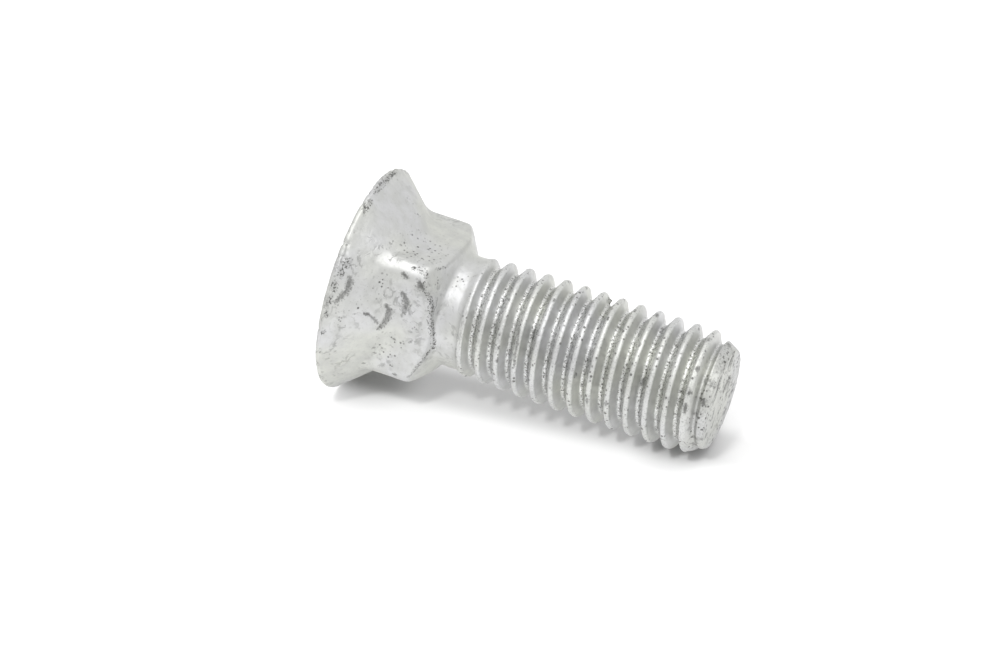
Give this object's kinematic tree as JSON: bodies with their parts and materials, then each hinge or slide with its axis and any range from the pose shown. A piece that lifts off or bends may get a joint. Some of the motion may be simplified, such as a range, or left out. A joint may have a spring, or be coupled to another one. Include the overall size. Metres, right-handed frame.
{
  "type": "plow bolt",
  "caption": "Galvanised plow bolt with a flat countersunk head, a square neck and a coarse right-hand thread.",
  "frame": {"origin": "centre of the head's flat face, which the bolt stands on", "axes": "+Z along the shank from the head to the point; X and Y are square to the flats of the neck"},
  "size_m": [0.0228, 0.0226, 0.0381],
  "materials": {
    "zinc_coated_steel": "hot-dip zinc coat, matt light grey with bright crests and dark specks"
  },
  "bodies": {
    "root": {"plow_bolt": "zinc_coated_steel"}
  },
  "joints": []
}
